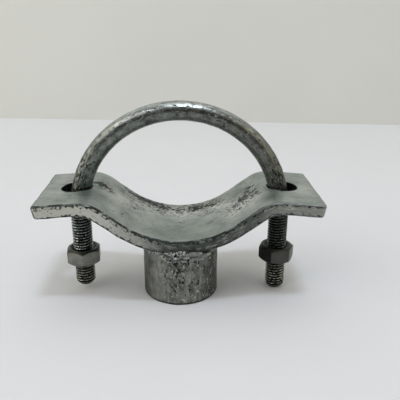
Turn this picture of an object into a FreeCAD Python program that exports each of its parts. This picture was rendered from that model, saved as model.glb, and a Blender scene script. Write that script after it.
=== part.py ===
import FreeCAD, Part
import Sketcher
import math
import os

# Saddle support for a round pipe: a bent flat bar on a short tube stub, with a U-bolt
# that hangs loose in two oversize ear holes and a hexagon nut on each of its legs.
# X runs along the bar, Y along the pipe, Z up. The origin is the centre of the stub's foot.

doc = FreeCAD.newDocument("PipeSaddle")
sameSize = 1e-4  # lengths closer than this, in millimetres, are the same

# Driving dimensions, in millimetres and degrees
drivingDimensions = [
    ("pipeDiameter", 88.9, "outside diameter of the pipe that the saddle carries"),
    ("strapWidth", 48.0, "width of the flat bar, along the pipe"),
    ("strapThickness", 6.0, "thickness of the flat bar"),
    ("saddleAngle", 36.0, "half the angle that the seat wraps round the pipe"),
    ("flankLength", 13.3, "straight stretch between the seat and the ear bend"),
    ("bendRadius", 10.3, "inside radius of the ear bend, on the underside"),
    ("earDroop", 4.1, "slope of the ears, down and outward"),
    ("earReach", 16.4, "from the hole's centre to the end of the ear"),
    ("endSlant", 8.0, "lean of the sheared ends, further in at the underside"),
    ("strapBevel", 0.6, "bevel along the bar's edges"),
    ("holeDiameter", 15.5, "ear holes, well over the rod's diameter"),
    ("holeOffset", 1.0, "from the leg's axis out to the hole's centre"),
    ("stubDiameter", 38.5, "outside diameter of the tube stub"),
    ("stubWall", 3.2, "wall of the tube stub"),
    ("stubHeight", 30.6, "height of the tube stub"),
    ("weldGap", 0.4, "gap between the stub's square top and the bar, filled by the weld"),
    ("weldMargin", 0.25, "bar left bare outside the weld bead, at each of its long edges"),
    ("weldDrop", 4.8, "reach of the weld bead below the stub's top"),
    ("weldRoot", 0.9, "how far the weld stays back from the stub's bore"),
    ("rodDiameter", 9.5, "diameter of the U-bolt's plain rod"),
    ("boltPlay", 0.8, "room between the pipe and the inside of the U-bolt"),
    ("restGap", 0.35, "gap between the resting U-bolt and the rims of the ear holes"),
    ("threadDiameter", 10.0, "outside diameter of the threaded legs"),
    ("plainLength", 1.5, "plain straight rod between the arch and the thread"),
    ("runOut", 1.0, "taper from the thread to the plain rod"),
    ("leftTipHeight", 3.3, "height of the left leg's end above the stub's foot"),
    ("rightTipHeight", 0.4, "height of the right leg's end, on the longer leg"),
    ("tipLength", 2.0, "length of the tapered leg ends"),
    ("tipDiameter", 6.6, "diameter of the flat on each leg end"),
    ("nutAcrossFlats", 16.0, "nut size across its flats"),
    ("nutHeight", 8.4, "height of a nut"),
    ("nutPlay", 0.08, "radial room between the nut's bore and the thread"),
    ("nutBevelAngle", 36.0, "slope of the bevel that rounds the nut's corners"),
    ("nutFaceRatio", 0.9, "round end face of a nut against its size across flats"),
    ("nutCountersink", 0.7, "countersink at each end of the nut's bore"),
    ("leftNutPlace", 12.3, "from the left leg's end up to its nut's underside"),
    ("rightNutPlace", 15.7, "from the right leg's end up to its nut's underside"),
    ("leftNutTurn", 36.0, "turn of the left nut from a flat facing the front"),
    ("rightNutTurn", 5.0, "turn of the right nut from a flat facing the front"),
]
sizes = doc.addObject("Spreadsheet::Sheet", "sizes")
for row, (alias, value, meaning) in enumerate(drivingDimensions, start=1):
    sizes.set(f"A{row}", alias)
    sizes.set(f"B{row}", str(value))
    sizes.set(f"C{row}", meaning)
    sizes.setAlias(f"B{row}", alias)
doc.recompute()

# Dimensions that follow from the driving ones, in the order in which they are worked out
derivedDimensions = [
    ("seatHeight", "(sizes.stubHeight + sizes.weldGap + sizes.strapThickness) * 1 mm"),
    ("seatRadius", "sizes.pipeDiameter / 2 * 1 mm"),
    ("underRadius", "seatRadius + sizes.strapThickness * 1 mm"),
    ("seatCentre", "seatHeight + seatRadius"),
    ("bendOuter", "(sizes.bendRadius + sizes.strapThickness) * 1 mm"),
    ("flankStartX", "seatRadius * sin(sizes.saddleAngle * 1 deg)"),
    ("flankStartZ", "seatCentre - seatRadius * cos(sizes.saddleAngle * 1 deg)"),
    ("flankEndX", "flankStartX + sizes.flankLength * 1 mm * cos(sizes.saddleAngle * 1 deg)"),
    ("flankEndZ", "flankStartZ + sizes.flankLength * 1 mm * sin(sizes.saddleAngle * 1 deg)"),
    ("bendX", "flankEndX + bendOuter * sin(sizes.saddleAngle * 1 deg)"),
    ("bendZ", "flankEndZ - bendOuter * cos(sizes.saddleAngle * 1 deg)"),
    ("rodRadius", "sizes.rodDiameter / 2 * 1 mm"),
    ("archInner", "seatRadius + sizes.boltPlay * 1 mm"),
    ("archRadius", "archInner + rodRadius"),
    ("holeX", "archRadius + sizes.holeOffset * 1 mm"),
    ("rimX", "holeX - sizes.holeDiameter / 2 * 1 mm"),
    ("earTopX", "bendX + bendOuter * sin(sizes.earDroop * 1 deg)"),
    ("earTopZ", "bendZ + bendOuter * cos(sizes.earDroop * 1 deg)"),
    ("rimOnBend", "bendZ + sqrt(bendOuter ^ 2 - (bendX - min(rimX; earTopX)) ^ 2)"),
    ("rimZ", "rimOnBend - max(0 mm; rimX - earTopX) * tan(sizes.earDroop * 1 deg)"),
    ("archZ", "rimZ - sqrt((archInner - sizes.restGap * 1 mm) ^ 2 - rimX ^ 2)"),
    ("endX", "holeX + sizes.earReach * 1 mm"),
    ("threadTop", "archZ - sizes.plainLength * 1 mm"),
    ("stubRadius", "sizes.stubDiameter / 2 * 1 mm"),
    ("boreRadius", "stubRadius - sizes.stubWall * 1 mm"),
    ("weldRadius", "(sizes.strapWidth / 2 - sizes.weldMargin) * 1 mm"),
    ("nutCorner", "sizes.nutAcrossFlats / 2 * 1 mm / cos(30 deg)"),
    ("leftNutBase", "(sizes.leftTipHeight + sizes.leftNutPlace) * 1 mm"),
    ("rightNutBase", "(sizes.rightTipHeight + sizes.rightNutPlace) * 1 mm"),
    ("nutFace", "sizes.nutAcrossFlats / 2 * 1 mm * sizes.nutFaceRatio"),
    ("nutBore", "(sizes.threadDiameter / 2 + sizes.nutPlay) * 1 mm"),
]
derived = doc.addObject("App::VarSet", "derived")
for name, expression in derivedDimensions:
    derived.addProperty("App::PropertyDistance", name, "Derived")
    derived.setExpression(name, expression)
doc.recompute()


def driving(alias):
    return float(sizes.get(alias))


def worked(name):
    return getattr(derived, name).Value


def vector(x, y):
    return FreeCAD.Vector(x, y, 0)


def newBody(label):
    body = doc.addObject("PartDesign::Body", label)
    body.Label = label
    return body


def originPlane(body, role):
    return next(feature for feature in body.Origin.OriginFeatures if feature.Role == role)


def newSketch(body, name, role, height=None):
    sketch = body.newObject("Sketcher::SketchObject", name)
    sketch.AttachmentSupport = [(originPlane(body, role), "")]
    sketch.MapMode = "FlatFace"
    if height:
        sketch.setExpression("AttachmentOffset.Base.z", height)
    return sketch


def dimension(sketch, name, expression, kind, *where):
    index = sketch.addConstraint(Sketcher.Constraint(kind, *where))
    sketch.renameConstraint(index, name)
    sketch.setExpression(f"Constraints.{name}", expression)


def relate(sketch, kind, *where):
    sketch.addConstraint(Sketcher.Constraint(kind, *where))


def addLine(sketch, start, end):
    return sketch.addGeometry(Part.LineSegment(vector(*start), vector(*end)), False)


def addArc(sketch, centre, radius, startAngle, endAngle):
    circle = Part.Circle(vector(*centre), FreeCAD.Vector(0, 0, 1), radius)
    arc = Part.ArcOfCircle(circle, math.radians(startAngle), math.radians(endAngle))
    return sketch.addGeometry(arc, False)


def addCircle(sketch, centre, radius):
    return sketch.addGeometry(Part.Circle(vector(*centre), FreeCAD.Vector(0, 0, 1), radius), False)


def addOutline(sketch, points):
    lines = []
    for index, point in enumerate(points):
        lines.append(addLine(sketch, point, points[(index + 1) % len(points)]))
    for index, line in enumerate(lines):
        relate(sketch, "Coincident", line, 2, lines[(index + 1) % len(lines)], 1)
    return lines


def placePoint(sketch, name, line, end, x, z):
    drawn = sketch.getPoint(line, end)
    dimension(sketch, f"{name}X", x, "DistanceX", -1, 1, line, end, drawn.x)
    dimension(sketch, f"{name}Z", z, "DistanceY", -1, 1, line, end, drawn.y)


def cutsThroughAll(body, name, sketch):
    pocket = body.newObject("PartDesign::Pocket", name)
    pocket.Profile = sketch
    pocket.Type = "ThroughAll"
    pocket.Midplane = True
    return pocket


def mirrored(body, name, feature):
    mirror = body.newObject("PartDesign::Mirrored", name)
    mirror.Originals = [feature]
    mirror.MirrorPlane = (originPlane(body, "YZ_Plane"), [""])
    mirror.Refine = True
    body.Tip = mirror
    return mirror


def bevelEdges(body, name, base, edges, expression):
    bevel = body.newObject("PartDesign::Chamfer", name)
    bevel.Base = (base, edges)
    bevel.setExpression("Size", expression)
    return bevel


# Half the bar's side outline, from the middle of the seat to the end of an ear, mirrored
def makeStrap():
    body = newBody("saddle_strap")
    wrap = driving("saddleAngle")
    droop = driving("earDroop")
    thick = driving("strapThickness")
    seat = (0, worked("seatCentre"))
    bend = (worked("bendX"), worked("bendZ"))

    def along(centre, radius, angle):
        turn = math.radians(angle)
        return (centre[0] + radius * math.cos(turn), centre[1] + radius * math.sin(turn))

    sketch = newSketch(body, "strapOutline", "XZ_Plane")
    seatTop, seatUnder = worked("seatRadius"), worked("underRadius")
    bendTop, bendUnder = worked("bendOuter"), driving("bendRadius")
    endTop = (worked("endX"), worked("earTopZ"))
    endUnder = (worked("endX"), worked("earTopZ") - thick)
    top = addArc(sketch, seat, seatTop, -90, -90 + wrap)
    flankTop = addLine(sketch, along(seat, seatTop, -90 + wrap), along(bend, bendTop, 90 + wrap))
    curveTop = addArc(sketch, bend, bendTop, 90 - droop, 90 + wrap)
    earTop = addLine(sketch, along(bend, bendTop, 90 - droop), endTop)
    end = addLine(sketch, endTop, endUnder)
    earUnder = addLine(sketch, endUnder, along(bend, bendUnder, 90 - droop))
    curveUnder = addArc(sketch, bend, bendUnder, 90 - droop, 90 + wrap)
    flankUnder = addLine(sketch, along(bend, bendUnder, 90 + wrap), along(seat, seatUnder, -90 + wrap))
    under = addArc(sketch, seat, seatUnder, -90, -90 + wrap)
    middle = addLine(sketch, along(seat, seatUnder, -90), along(seat, seatTop, -90))

    relate(sketch, "Tangent", top, 2, flankTop, 1)
    relate(sketch, "Tangent", flankTop, 2, curveTop, 2)
    relate(sketch, "Tangent", curveTop, 1, earTop, 1)
    relate(sketch, "Coincident", earTop, 2, end, 1)
    relate(sketch, "Coincident", end, 2, earUnder, 1)
    relate(sketch, "Tangent", earUnder, 2, curveUnder, 1)
    relate(sketch, "Tangent", curveUnder, 2, flankUnder, 1)
    relate(sketch, "Tangent", flankUnder, 2, under, 2)
    relate(sketch, "Coincident", under, 1, middle, 1)
    relate(sketch, "Coincident", middle, 2, top, 1)
    relate(sketch, "Coincident", under, 3, top, 3)
    relate(sketch, "Coincident", curveUnder, 3, curveTop, 3)
    relate(sketch, "PointOnObject", top, 3, -2)
    relate(sketch, "PointOnObject", top, 1, -2)
    relate(sketch, "PointOnObject", under, 1, -2)
    relate(sketch, "Parallel", earUnder, earTop)
    dimension(sketch, "seatRadius", "derived.seatRadius", "Radius", top, seatTop)
    dimension(sketch, "underRadius", "derived.underRadius", "Radius", under, seatUnder)
    dimension(sketch, "bendOuter", "derived.bendOuter", "Radius", curveTop, bendTop)
    dimension(sketch, "bendInner", "sizes.bendRadius * 1 mm", "Radius", curveUnder, bendUnder)
    dimension(sketch, "seatHeight", "derived.seatHeight", "DistanceY", -1, 1, top, 1, worked("seatHeight"))
    dimension(sketch, "wrap", "sizes.saddleAngle * 1 deg", "Angle", flankTop, math.radians(wrap))
    dimension(sketch, "flank", "sizes.flankLength * 1 mm", "Distance", flankTop, driving("flankLength"))
    dimension(sketch, "droop", "-sizes.earDroop * 1 deg", "Angle", earTop, math.radians(-droop))
    dimension(sketch, "reach", "derived.endX", "DistanceX", -1, 1, earTop, 2, worked("endX"))
    slant = driving("earDroop") + driving("endSlant")
    slantRule = "-(90 + sizes.earDroop + sizes.endSlant) * 1 deg"
    dimension(sketch, "slant", slantRule, "Angle", end, math.radians(-90 - slant))

    half = body.newObject("PartDesign::Pad", "strapHalf")
    half.Profile = sketch
    half.Midplane = True
    half.setExpression("Length", "sizes.strapWidth * 1 mm")
    doc.recompute()
    whole = mirrored(body, "strapWhole", half)
    doc.recompute()

    edgeNames = []
    side = driving("strapWidth") / 2
    for index, edge in enumerate(whole.Shape.Edges, start=1):
        onSide = all(abs(abs(vertex.Y) - side) < sameSize for vertex in edge.Vertexes)
        alongSide = abs(edge.CenterOfMass.y) > side / 2
        atEnd = abs(edge.CenterOfMass.x) > worked("holeX") and abs(edge.CenterOfMass.y) < sameSize
        if (onSide and alongSide) or atEnd:
            edgeNames.append(f"Edge{index}")
    bevelEdges(body, "strapBevelled", whole, edgeNames, "sizes.strapBevel * 1 mm")
    doc.recompute()

    holes = newSketch(body, "earHoles", "XY_Plane")
    size = driving("holeDiameter")
    for name, sign in (("left", -1), ("right", 1)):
        circle = addCircle(holes, (sign * worked("holeX"), 0), size / 2)
        relate(holes, "PointOnObject", circle, 3, -1)
        dimension(holes, f"{name}Size", "sizes.holeDiameter * 1 mm", "Diameter", circle, size)
        ends = (-1, 1, circle, 3) if sign > 0 else (circle, 3, -1, 1)
        dimension(holes, f"{name}Place", "derived.holeX", "DistanceX", *ends, worked("holeX"))
    cutsThroughAll(body, "earHolesCut", holes)
    return body


# A square-cut length of tube that stands under the middle of the seat
def makeStub():
    body = newBody("stub_tube")
    sketch = newSketch(body, "stubSection", "XY_Plane")
    for name, radius in (("outside", "stubRadius"), ("bore", "boreRadius")):
        circle = addCircle(sketch, (0, 0), worked(radius))
        relate(sketch, "Coincident", circle, 3, -1, 1)
        dimension(sketch, name, f"derived.{radius}", "Radius", circle, worked(radius))
    tube = body.newObject("PartDesign::Pad", "stubLength")
    tube.Profile = sketch
    tube.setExpression("Length", "sizes.stubHeight * 1 mm")
    return body


# A flat-faced bead round the stub's top that also fills the wedge under the curved bar
def makeWeld():
    body = newBody("weld_bead")
    sketch = newSketch(body, "weldSection", "XZ_Plane")
    wall, outer = worked("stubRadius"), worked("weldRadius")
    root = worked("boreRadius") + driving("weldRoot")
    shelf = driving("stubHeight")
    toe = shelf - driving("weldDrop")
    brow = shelf + driving("weldGap")
    crest = worked("seatCentre")
    corners = [
        (wall, toe),
        (outer, brow),
        (outer, crest),
        (root, crest),
        (root, shelf),
        (wall, shelf),
    ]
    edges = addOutline(sketch, corners)
    for index in (1, 3, 5):
        relate(sketch, "Vertical", edges[index])
    for index in (2, 4):
        relate(sketch, "Horizontal", edges[index])
    toeRule = "(sizes.stubHeight - sizes.weldDrop) * 1 mm"
    placePoint(sketch, "toe", edges[0], 1, "derived.stubRadius", toeRule)
    browRule = "(sizes.stubHeight + sizes.weldGap) * 1 mm"
    placePoint(sketch, "brow", edges[1], 1, "derived.weldRadius", browRule)
    rootRule = "derived.boreRadius + sizes.weldRoot * 1 mm"
    placePoint(sketch, "crest", edges[3], 1, rootRule, "derived.seatCentre")
    dimension(sketch, "shelf", "sizes.stubHeight * 1 mm", "DistanceY", -1, 1, edges[4], 1, shelf)
    ring = body.newObject("PartDesign::Revolution", "weldRing")
    ring.Profile = sketch
    ring.ReferenceAxis = (sketch, ["V_Axis"])
    ring.Angle = 360
    doc.recompute()
    under = newSketch(body, "strapUnderside", "XZ_Plane")
    circle = addCircle(under, (0, worked("seatCentre")), worked("underRadius"))
    relate(under, "PointOnObject", circle, 3, -2)
    dimension(under, "radius", "derived.underRadius", "Radius", circle, worked("underRadius"))
    dimension(under, "height", "derived.seatCentre", "DistanceY", -1, 1, circle, 3, worked("seatCentre"))
    cutsThroughAll(body, "weldCut", under)
    return body


threadStart = "derived.threadTop - sizes.runOut * 1 mm"  # height at which the run-out begins


# One threaded leg, turned about its own axis; the left outline is drawn from behind
def makeLeg(body, side):
    leg = newSketch(body, f"{side}LegOutline", "XZ_Plane")
    if side == "left":
        leg.AttachmentOffset = FreeCAD.Placement(vector(0, 0), FreeCAD.Rotation(vector(0, 1), 180))
    radius, top = worked("archRadius"), worked("threadTop")
    tip, start = driving(f"{side}TipHeight"), top - driving("runOut")
    thread, point = driving("threadDiameter") / 2, driving("tipDiameter") / 2
    corners = [
        (radius, tip),
        (radius + point, tip),
        (radius + thread, tip + driving("tipLength")),
        (radius + thread, start),
        (radius + worked("rodRadius"), top),
        (radius, top),
    ]
    edges = addOutline(leg, corners)
    relate(leg, "Horizontal", edges[0])
    relate(leg, "Vertical", edges[2])
    relate(leg, "Horizontal", edges[4])
    relate(leg, "Vertical", edges[5])
    tipRule = f"sizes.{side}TipHeight"
    threadRule = "derived.archRadius + sizes.threadDiameter / 2 * 1 mm"
    placePoint(leg, "foot", edges[0], 1, "derived.archRadius", f"{tipRule} * 1 mm")
    dimension(leg, "tip", "sizes.tipDiameter / 2 * 1 mm", "DistanceX", edges[0], 1, edges[0], 2, point)
    placePoint(leg, "thread", edges[2], 1, threadRule, f"({tipRule} + sizes.tipLength) * 1 mm")
    dimension(leg, "threadEnd", threadStart, "DistanceY", -1, 1, edges[2], 2, start)
    placePoint(leg, "rod", edges[4], 1, "derived.archRadius + derived.rodRadius", "derived.threadTop")
    turned = body.newObject("PartDesign::Revolution", f"{side}Leg")
    turned.Profile = leg
    turned.ReferenceAxis = (leg, [f"Edge{edges[5] + 1}"])
    turned.Angle = 360
    doc.recompute()


# Plain rod bent to a half circle, with a thicker threaded leg under each end
def makeBolt():
    body = newBody("u_bolt")
    radius, springing = worked("archRadius"), worked("archZ")
    start = worked("threadTop") - driving("runOut")
    path = newSketch(body, "archPath", "XZ_Plane")
    rise = addLine(path, (radius, start), (radius, springing))
    arch = addArc(path, (0, springing), radius, 0, 180)
    fall = addLine(path, (-radius, springing), (-radius, start))
    relate(path, "Tangent", rise, 2, arch, 1)
    relate(path, "Tangent", arch, 2, fall, 1)
    relate(path, "PointOnObject", arch, 3, -2)
    relate(path, "Vertical", rise)
    relate(path, "Vertical", fall)
    relate(path, "Horizontal", rise, 1, fall, 2)
    dimension(path, "radius", "derived.archRadius", "Radius", arch, radius)
    dimension(path, "springing", "derived.archZ", "DistanceY", -1, 1, arch, 3, springing)
    dimension(path, "start", threadStart, "DistanceY", -1, 1, rise, 1, start)
    section = newSketch(body, "rodSection", "XY_Plane", threadStart)
    circle = addCircle(section, (radius, 0), worked("rodRadius"))
    relate(section, "PointOnObject", circle, 3, -1)
    dimension(section, "rod", "derived.rodRadius", "Radius", circle, worked("rodRadius"))
    dimension(section, "leg", "derived.archRadius", "DistanceX", -1, 1, circle, 3, radius)
    doc.recompute()
    rod = body.newObject("PartDesign::AdditivePipe", "arch")
    rod.Profile = section
    rod.Spine = (path, [])
    doc.recompute()

    for side in ("left", "right"):
        makeLeg(body, side)
    return body


# A hexagon with both ends turned to a round face and a countersunk bore
def makeNut(side, sign):
    label = f"{side}_nut"
    body = newBody(label)
    flats = newSketch(body, f"{label}_flats", "XY_Plane")
    corner = worked("nutCorner")
    corners = []
    for step in range(6):
        angle = math.radians(60 * step)
        corners.append((corner * math.cos(angle), corner * math.sin(angle)))
    edges = addOutline(flats, corners)
    rim = addCircle(flats, (0, 0), corner)
    flats.setConstruction(rim, True)
    relate(flats, "Coincident", rim, 3, -1, 1)
    for edge in edges:
        relate(flats, "PointOnObject", edge, 1, rim)
    for edge in edges[1:]:
        relate(flats, "Equal", edges[0], edge)
    relate(flats, "PointOnObject", edges[0], 1, -1)
    dimension(flats, "corner", "derived.nutCorner", "Radius", rim, corner)
    bore = addCircle(flats, (0, 0), worked("nutBore"))
    relate(flats, "Coincident", bore, 3, -1, 1)
    dimension(flats, "bore", "derived.nutBore", "Radius", bore, worked("nutBore"))
    block = body.newObject("PartDesign::Pad", f"{label}_block")
    block.Profile = flats
    block.setExpression("Length", "sizes.nutHeight * 1 mm")
    doc.recompute()

    bevel = newSketch(body, f"{label}_bevel", "XZ_Plane")
    face, height = worked("nutFace"), driving("nutHeight")
    beyond = 2 * corner - face
    fall = (beyond - face) * math.tan(math.radians(driving("nutBevelAngle")))
    fallRule = "2 * (derived.nutCorner - derived.nutFace) * tan(sizes.nutBevelAngle * 1 deg)"
    beyondRule = "2 * derived.nutCorner - derived.nutFace"
    low = addOutline(bevel, [(face, 0), (beyond, 0), (beyond, fall)])
    high = addOutline(bevel, [(face, height), (beyond, height), (beyond, height - fall)])
    for name, edges, z, far in (
        ("low", low, "0 mm", fallRule),
        ("high", high, "sizes.nutHeight * 1 mm", f"sizes.nutHeight * 1 mm - {fallRule}"),
    ):
        placePoint(bevel, f"{name}Face", edges[0], 1, "derived.nutFace", z)
        placePoint(bevel, f"{name}Rim", edges[1], 1, beyondRule, z)
        placePoint(bevel, f"{name}Fall", edges[2], 1, beyondRule, far)
    turned = body.newObject("PartDesign::Groove", f"{label}_turned")
    turned.Profile = bevel
    turned.ReferenceAxis = (bevel, ["V_Axis"])
    turned.Angle = 360
    doc.recompute()

    mouths = []
    for index, edge in enumerate(turned.Shape.Edges, start=1):
        isCircle = edge.Curve.TypeId == "Part::GeomCircle"
        if isCircle and abs(edge.Curve.Radius - worked("nutBore")) < sameSize:
            mouths.append(f"Edge{index}")
    bevelEdges(body, f"{label}_mouths", turned, mouths, "sizes.nutCountersink * 1 mm")
    body.setExpression("Placement.Base.x", f"{sign} * derived.archRadius")
    body.setExpression("Placement.Base.z", f"derived.{side}NutBase")
    body.setExpression("Placement.Rotation.Angle", f"sizes.{side}NutTurn * 1 deg")
    return body


parts = [
    makeStrap(),
    makeStub(),
    makeWeld(),
    makeBolt(),
    makeNut("left", -1),
    makeNut("right", 1),
]
doc.recompute()

for item in doc.Objects:
    if "Invalid" in item.State or "Error" in item.State:
        raise RuntimeError(f"{item.Label} failed to rebuild: {item.State}")
for part in parts:
    shape = part.Shape
    if shape.isNull() or not shape.isValid() or len(shape.Solids) != 1:
        raise RuntimeError(f"{part.Label} is not one valid solid")

os.makedirs("parts", exist_ok=True)
for part in parts:
    part.Shape.exportStep(f"parts/{part.Label}.step")
    box = part.Shape.BoundBox
    print(
        f"{part.Label}: {part.Shape.Volume:.0f} mm3,"
        f" x {box.XMin:.2f} to {box.XMax:.2f}, y {box.YMin:.2f} to {box.YMax:.2f},"
        f" z {box.ZMin:.2f} to {box.ZMax:.2f}"
    )
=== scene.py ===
import math

import bpy
from mathutils import Matrix, Vector


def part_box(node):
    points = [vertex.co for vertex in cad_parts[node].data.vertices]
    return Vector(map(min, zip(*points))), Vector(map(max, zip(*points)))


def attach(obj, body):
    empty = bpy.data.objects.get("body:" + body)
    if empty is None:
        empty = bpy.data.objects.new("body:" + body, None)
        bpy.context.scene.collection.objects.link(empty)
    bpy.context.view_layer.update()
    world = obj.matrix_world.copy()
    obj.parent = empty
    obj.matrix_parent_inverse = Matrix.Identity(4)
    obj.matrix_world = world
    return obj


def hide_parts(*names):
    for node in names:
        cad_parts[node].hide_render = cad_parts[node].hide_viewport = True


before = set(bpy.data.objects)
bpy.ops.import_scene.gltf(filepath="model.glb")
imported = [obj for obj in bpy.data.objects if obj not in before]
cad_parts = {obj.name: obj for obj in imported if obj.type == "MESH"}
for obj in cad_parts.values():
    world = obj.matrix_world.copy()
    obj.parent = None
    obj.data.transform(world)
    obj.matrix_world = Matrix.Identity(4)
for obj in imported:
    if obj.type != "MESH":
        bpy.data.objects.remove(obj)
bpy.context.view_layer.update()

# A galvanised pipe saddle: bent bar, tube stub, weld, U-bolt and two nuts.
# X runs along the bar, Y along the pipe, Z up. Values are in millimetres and degrees.
mm = 0.001
samePoint = 0.002  # points closer than this are merged
sameRow = 0.1  # points closer than this lie in one row of the mesh
onMirror = 0.01  # points closer than this to the middle lie on it
bpy.context.scene.view_settings.view_transform = "Standard"
print("frame:", ", ".join(sorted(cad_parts)))


# Small helpers for modelling with operators

def takeUp(piece):  # the only selected object, and the active one
    bpy.ops.object.select_all(action="DESELECT")
    piece.select_set(True)
    bpy.context.view_layer.objects.active = piece
    return piece


def justAdded(name):  # names the new primitive and puts its place into its mesh
    piece = bpy.context.object
    piece.name = name
    piece.data.name = name
    takeUp(piece)
    bpy.ops.object.transform_apply(location=True, rotation=True, scale=True)
    return piece


def choose(piece, kind, test):  # selects vertices or faces by a rule, in edit mode
    bpy.ops.object.mode_set(mode="EDIT")
    bpy.ops.mesh.select_mode(type=kind)
    bpy.ops.mesh.select_all(action="DESELECT")
    bpy.ops.object.mode_set(mode="OBJECT")
    mesh = piece.data
    for item in {"VERT": mesh.vertices, "FACE": mesh.polygons}[kind]:
        item.select = test(item)
    bpy.ops.object.mode_set(mode="EDIT")


def extrude(x, y, z):  # moves what is selected on, in metres
    bpy.ops.mesh.extrude_region_move(TRANSFORM_OT_translate={"value": (x, y, z)})


def closeUp(piece):  # merges doubles, closes open ends and turns faces outwards
    bpy.ops.object.mode_set(mode="EDIT")
    bpy.ops.mesh.select_mode(type="VERT")
    bpy.ops.mesh.select_all(action="SELECT")
    bpy.ops.mesh.remove_doubles(threshold=samePoint * mm)
    bpy.ops.mesh.fill_holes(sides=0)
    bpy.ops.mesh.select_all(action="SELECT")
    bpy.ops.mesh.normals_make_consistent(inside=False)
    bpy.ops.object.mode_set(mode="OBJECT")


def finishWith(piece, kind, **settings):  # adds a modifier and applies it
    takeUp(piece)
    modifier = piece.modifiers.new(kind.lower(), kind)
    for key, value in settings.items():
        setattr(modifier, key, value)
    bpy.ops.object.modifier_apply(modifier=modifier.name)


def combine(piece, operation, *others):  # boolean with other objects, which are used up
    for other in others:
        finishWith(piece, "BOOLEAN", object=other, operation=operation, solver="MANIFOLD")
        bpy.data.objects.remove(other)


def unevenCoat(piece, size, depth, level):  # waves in the zinc: outwards at level 0, inwards at 1
    texture = bpy.data.textures.new(f"{piece.name}_coat", "CLOUDS")
    texture.noise_scale = size * mm
    finishWith(piece, "DISPLACE", texture=texture, texture_coords="LOCAL",
               strength=depth * mm, mid_level=level)


def softShade(piece, angle):
    takeUp(piece)
    bpy.ops.object.shade_smooth_by_angle(angle=math.radians(angle))


def turned(name, place, rings, segments):  # a solid of revolution from (radius, height) rings
    (radius, height), *rest = rings
    bpy.ops.mesh.primitive_circle_add(vertices=segments, radius=radius * mm, fill_type="NGON",
                                      location=(place[0] * mm, place[1] * mm, height * mm))
    piece = justAdded(name)
    bpy.ops.object.mode_set(mode="EDIT")
    bpy.ops.mesh.select_all(action="SELECT")
    centre = (place[0] * mm, place[1] * mm, 0)
    for nextRadius, nextHeight in rest:
        extrude(0, 0, (nextHeight - height) * mm)
        share = nextRadius / radius
        bpy.ops.transform.resize(value=(share, share, 1), center_override=centre)
        radius, height = nextRadius, nextHeight
    bpy.ops.object.mode_set(mode="OBJECT")
    closeUp(piece)
    return piece


# Bent flat bar

strapLow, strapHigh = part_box("saddle_strap")
strapValues = {
    "thickness": 6.0,
    "seatRadius": 44.45,
    "wrap": 36.0,  # half angle of the seat
    "flank": 13.3,  # straight between seat and bend
    "bendInner": 10.3,
    "droop": 4.1,  # slope of the ears
    "endSlant": 8.0,  # sheared ends lean in at the underside
    "holeX": 50.7,
    "holeDiameter": 15.1,
    "holeSegments": 128,
    "cutterLength": 40.0,
    "edge": 1.0,  # rolled edges
    "edgeSegments": 4,
    "sharpAngle": 60.0,  # edges sharper than this are rolled
    "shadeAngle": 40.0,
    "rows": 4,  # mesh rows through the thickness
    "spacing": 1.2,  # between mesh rows along and across
    "endRow": 2.5,  # last row, which leans at the end
    "coatSize": 7.0,
    "coatDepth": 0.5,  # thick zinc, standing proud of the bar
    "coatLevel": 0.0,
}


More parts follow.
